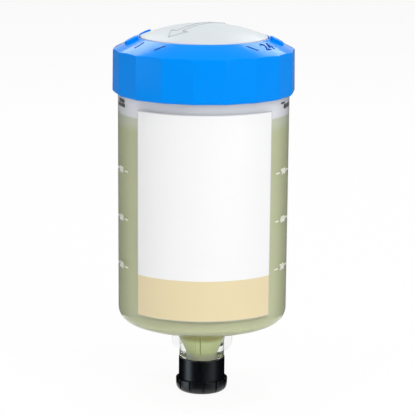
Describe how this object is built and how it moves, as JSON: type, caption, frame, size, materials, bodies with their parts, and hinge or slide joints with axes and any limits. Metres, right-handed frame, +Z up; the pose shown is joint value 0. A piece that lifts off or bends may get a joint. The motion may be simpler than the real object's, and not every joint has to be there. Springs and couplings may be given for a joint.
{
  "type": "automatic lubricator",
  "caption": "Cylindrical clear oil reservoir with a labelled front, a faceted setting dial round a domed cover, a gas-driven piston and a capped outlet thread below.",
  "frame": {"origin": "centre of the closing cap's underside, on the common axis of reservoir, dial and outlet", "axes": "+Z up along the axis from the outlet to the cover; -Y is the side with the label"},
  "size_m": [0.0562, 0.056, 0.1166],
  "materials": {
    "clear_plastic": "clear, polished",
    "label_film": "white film, satin",
    "oil": "pale olive liquid",
    "white_plastic": "moulded, satin",
    "blue_plastic": "moulded, glossy",
    "frosted_plastic": "translucent, glossy",
    "black_plastic": "moulded, satin",
    "black_rubber": "matt",
    "pale_silicone": "matt",
    "cell_steel": "nickel plated",
    "spring_steel": "bright",
    "steel_ball": "polished",
    "valve_brass": "turned",
    "board_laminate": "solder mask",
    "chip_ceramic": "fired",
    "membrane_fleece": "porous",
    "magnet": "nickel plated"
  },
  "bodies": {
    "housing": {"reservoir": "clear_plastic", "label": "label_film", "oil_fill": "oil", "oil_heel": "oil", "valve_body": "valve_brass", "valve_spring": "spring_steel", "valve_retainer": "valve_brass", "gas_head": "white_plastic", "head_o_ring": "black_rubber", "gas_membrane": "membrane_fleece", "gas_cell_1": "cell_steel", "gas_cell_2": "cell_steel", "gas_cell_3": "cell_steel", "contact_spring_1": "spring_steel", "contact_spring_2": "spring_steel", "contact_spring_3": "spring_steel", "ground_plate": "spring_steel", "circuit_board": "board_laminate", "board_screws": "spring_steel", "dose_resistors": "chip_ceramic", "controller": "black_plastic", "dome_cover": "frosted_plastic"},
    "dial": {"setting_dial": "blue_plastic", "dial_magnet": "magnet", "click_spring": "spring_steel"},
    "piston": {"piston": "white_plastic", "piston_seal_lower": "pale_silicone", "piston_seal_upper": "pale_silicone"},
    "cap_seal": {"cap_liner": "pale_silicone"},
    "cap": {"closing_cap": "black_plastic"},
    "check_ball": {"valve_ball": "steel_ball"}
  },
  "joints": [
    {"name": "dial_turn", "type": "hinge", "parent": "housing", "child": "dial", "pos_m": [0, 0, 0.107], "axis": [0, 0, 1], "range_deg": [0, 270]},
    {"name": "piston_slide", "type": "slide", "parent": "housing", "child": "piston", "axis": [0, 0, -1], "range_m": [0, 0.06], "deforming": ["oil_fill"]},
    {"name": "cap_lower", "type": "slide", "parent": "housing", "child": "cap_seal", "axis": [0, 0, -1], "range_m": [0, 0.00935]},
    {"name": "cap_turn", "type": "hinge", "parent": "cap_seal", "child": "cap", "pos_m": [0, 0, 0.005], "axis": [0, 0, -1], "range_deg": [0, 2520]},
    {"name": "valve_open", "type": "slide", "parent": "housing", "child": "check_ball", "axis": [0, 0, -1], "range_m": [0, 0.0008], "stiffness_N_per_m": 20, "springref_m": -0.0008, "deforming": ["valve_spring"]}
  ],
  "couplings": [
    {"joint": "cap_turn", "follows": "cap_lower", "rad_per_m": 4699.5}
  ]
}
